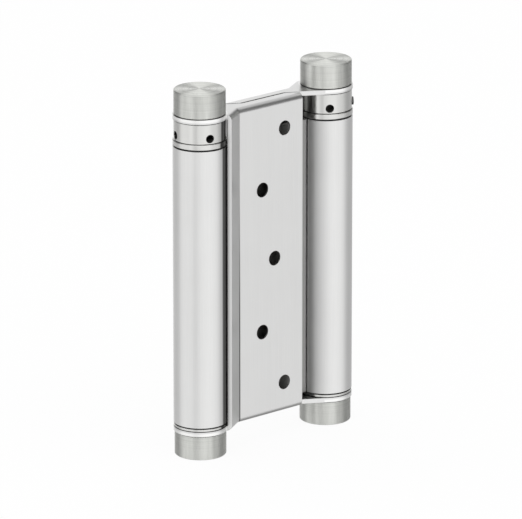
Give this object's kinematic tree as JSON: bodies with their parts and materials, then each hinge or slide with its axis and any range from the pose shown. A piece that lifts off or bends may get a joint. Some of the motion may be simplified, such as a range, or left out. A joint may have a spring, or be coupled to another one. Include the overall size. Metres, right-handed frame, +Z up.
{
  "type": "double action spring hinge",
  "caption": "Satin steel double action cafe door hinge: stamped leaves on spring barrels joined by a rolled web, with turned caps and tension collars; the door swings both ways and self-closes.",
  "frame": {"origin": "Centre of the footprint, at the level of the two flat lower cap ends", "axes": "+X from the left barrel to the right barrel, -Y out of the front leaf's face, +Z up along both spindles"},
  "size_m": [0.0848, 0.0211, 0.1463],
  "materials": {
    "satin_sheet": "satin",
    "turned_steel": "satin",
    "spring_steel": "satin",
    "dark_nylon": "matte"
  },
  "bodies": {
    "rear_leaf_set": {"rear_leaf": "satin_sheet", "right_spindle": "turned_steel", "right_top_cap": "turned_steel", "right_bottom_cap": "turned_steel", "right_tension_collar": "turned_steel", "right_tension_pin": "turned_steel", "right_lower_washer": "turned_steel"},
    "web_set": {"center_web": "satin_sheet", "left_torsion_spring": "spring_steel", "right_torsion_spring": "spring_steel", "left_spring_anchor": "turned_steel", "right_spring_anchor": "turned_steel", "left_upper_thrust_washer": "dark_nylon", "right_upper_thrust_washer": "dark_nylon", "left_lower_thrust_washer": "dark_nylon", "right_lower_thrust_washer": "dark_nylon"},
    "front_leaf_set": {"front_leaf": "satin_sheet", "left_spindle": "turned_steel", "left_top_cap": "turned_steel", "left_bottom_cap": "turned_steel", "left_tension_collar": "turned_steel", "left_tension_pin": "turned_steel", "left_lower_washer": "turned_steel"}
  },
  "joints": [
    {"name": "right_pivot", "type": "hinge", "parent": "rear_leaf_set", "child": "web_set", "pos_m": [0.032, 0, 0.073], "axis": [0, 0, 1], "range_deg": [0, 180], "stiffness_Nm_per_rad": 0.6, "springref_deg": -57.3, "deforming": ["right_torsion_spring"]},
    {"name": "left_pivot", "type": "hinge", "parent": "web_set", "child": "front_leaf_set", "pos_m": [-0.032, 0, 0.073], "axis": [0, 0, -1], "range_deg": [0, 180], "stiffness_Nm_per_rad": 0.6, "springref_deg": -57.3, "deforming": ["left_torsion_spring"]}
  ]
}
